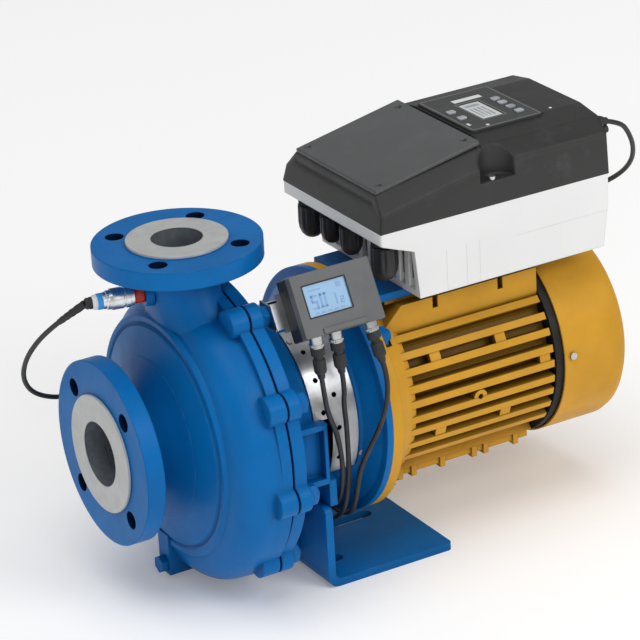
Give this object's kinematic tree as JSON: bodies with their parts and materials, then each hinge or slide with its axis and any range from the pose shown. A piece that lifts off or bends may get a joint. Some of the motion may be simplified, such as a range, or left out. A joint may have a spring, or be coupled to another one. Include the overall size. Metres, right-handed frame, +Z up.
{
  "type": "centrifugal water pump",
  "caption": "Close-coupled end-suction centrifugal pump with flanged ports, finned motor, motor-mounted speed drive, and a small pressure monitor wired to two sensors.",
  "frame": {"origin": "centre of the suction flange face, on the shaft axis", "axes": "+X along the shaft from the suction side to the motor, +Z up through the discharge flange, -Y the side with the pressure monitor"},
  "size_m": [0.6403, 0.3382, 0.4117],
  "materials": {
    "blue_paint": "semi-gloss blue enamel on cast iron",
    "gold_paint": "satin ochre-gold paint on cast aluminium",
    "cast_iron": "bare grey cast iron",
    "zinc_steel": "zinc-plated steel",
    "stainless": "satin stainless steel",
    "shaft_steel": "ground steel",
    "copper": "lacquered copper winding",
    "core_steel": "laminated electrical steel",
    "seal_carbon": "lapped carbon",
    "gasket": "fibre-reinforced rubber",
    "light_housing": "light grey powder coat",
    "dark_cover": "anthracite moulded plastic",
    "black_plastic": "moulded black plastic",
    "heatsink": "die-cast aluminium",
    "board": "green circuit board",
    "black_rubber": "black cable jacket",
    "red_cap": "red moulded plastic",
    "cyan_band": "light blue moulded plastic",
    "lcd_blue": "clear display window over a pale blue panel",
    "lcd_grey": "clear display window over a grey panel",
    "key_rubber": "silicone key tops",
    "fan_plastic": "glass-filled nylon",
    "cowl_paint": "satin ochre-gold paint on pressed steel"
  },
  "bodies": {
    "stationary": {"bearing_outer_rings": "shaft_steel", "cable_glands": "black_plastic", "casing_bolts": "blue_paint", "casing_cover": "cast_iron", "casing_gasket": "gasket", "casing_wear_ring": "cast_iron", "cover_screws": "zinc_steel", "discharge_flange_ring": "blue_paint", "discharge_sensor_lead": "black_rubber", "drain_plug": "blue_paint", "drive_adapter": "blue_paint", "drive_circuit_board": "board", "drive_cover": "dark_cover", "drive_end_shield": "cast_iron", "drive_heatsink": "heatsink", "drive_lantern": "blue_paint", "fan_cowl": "cowl_paint", "foot_bracket": "blue_paint", "guard_screws": "stainless", "lantern_bolts": "blue_paint", "monitor_bracket": "stainless", "monitor_front": "black_plastic", "monitor_housing": "black_plastic", "monitor_plugs": "black_plastic", "monitor_screen": "lcd_blue", "monitor_sockets": "stainless", "monitor_supply_lead": "black_rubber", "motor_frame": "gold_paint", "panel_bezel": "light_housing", "panel_windows": "lcd_grey", "rear_end_shield": "cast_iron", "seal_stationary_ring": "seal_carbon", "sensor_bands": "cyan_band", "sensor_bases": "red_cap", "sensor_bodies": "stainless", "sensor_reliefs": "black_plastic", "service_plugs": "black_plastic", "stator_core": "core_steel", "stator_winding": "copper", "suction_flange_ring": "blue_paint", "suction_sensor_lead": "black_rubber", "terminal_lid": "dark_cover", "volute_casing": "blue_paint", "window_guards": "stainless"},
    "rotor": {"pump_shaft": "shaft_steel", "motor_shaft": "shaft_steel", "impeller": "cast_iron", "impeller_key": "shaft_steel", "impeller_nut": "shaft_steel", "seal_rotating_ring": "seal_carbon", "seal_spring": "stainless", "rotor_core": "core_steel", "cooling_fan": "fan_plastic", "bearing_inner_rings": "shaft_steel"},
    "up_key_cap": {"up_key": "key_rubber"},
    "down_key_cap": {"down_key": "key_rubber"},
    "back_key_cap": {"back_key": "key_rubber"},
    "enter_key_cap": {"enter_key": "key_rubber"},
    "manual_key_cap": {"manual_key": "key_rubber"},
    "auto_key_cap": {"auto_key": "key_rubber"}
  },
  "joints": [
    {"name": "rotor_spin", "type": "hinge", "parent": "stationary", "child": "rotor", "pos_m": [0, 0, 0], "axis": [1, 0, 0], "continuous": true},
    {"name": "up_key_press", "type": "slide", "parent": "stationary", "child": "up_key_cap", "axis": [0, 0, -1], "range_m": [0, 0.0008], "stiffness_N_per_m": 400},
    {"name": "down_key_press", "type": "slide", "parent": "stationary", "child": "down_key_cap", "axis": [0, 0, -1], "range_m": [0, 0.0008], "stiffness_N_per_m": 400},
    {"name": "back_key_press", "type": "slide", "parent": "stationary", "child": "back_key_cap", "axis": [0, 0, -1], "range_m": [0, 0.0008], "stiffness_N_per_m": 400},
    {"name": "enter_key_press", "type": "slide", "parent": "stationary", "child": "enter_key_cap", "axis": [0, 0, -1], "range_m": [0, 0.0008], "stiffness_N_per_m": 400},
    {"name": "manual_key_press", "type": "slide", "parent": "stationary", "child": "manual_key_cap", "axis": [0, 0, -1], "range_m": [0, 0.0008], "stiffness_N_per_m": 400},
    {"name": "auto_key_press", "type": "slide", "parent": "stationary", "child": "auto_key_cap", "axis": [0, 0, -1], "range_m": [0, 0.0008], "stiffness_N_per_m": 400}
  ]
}
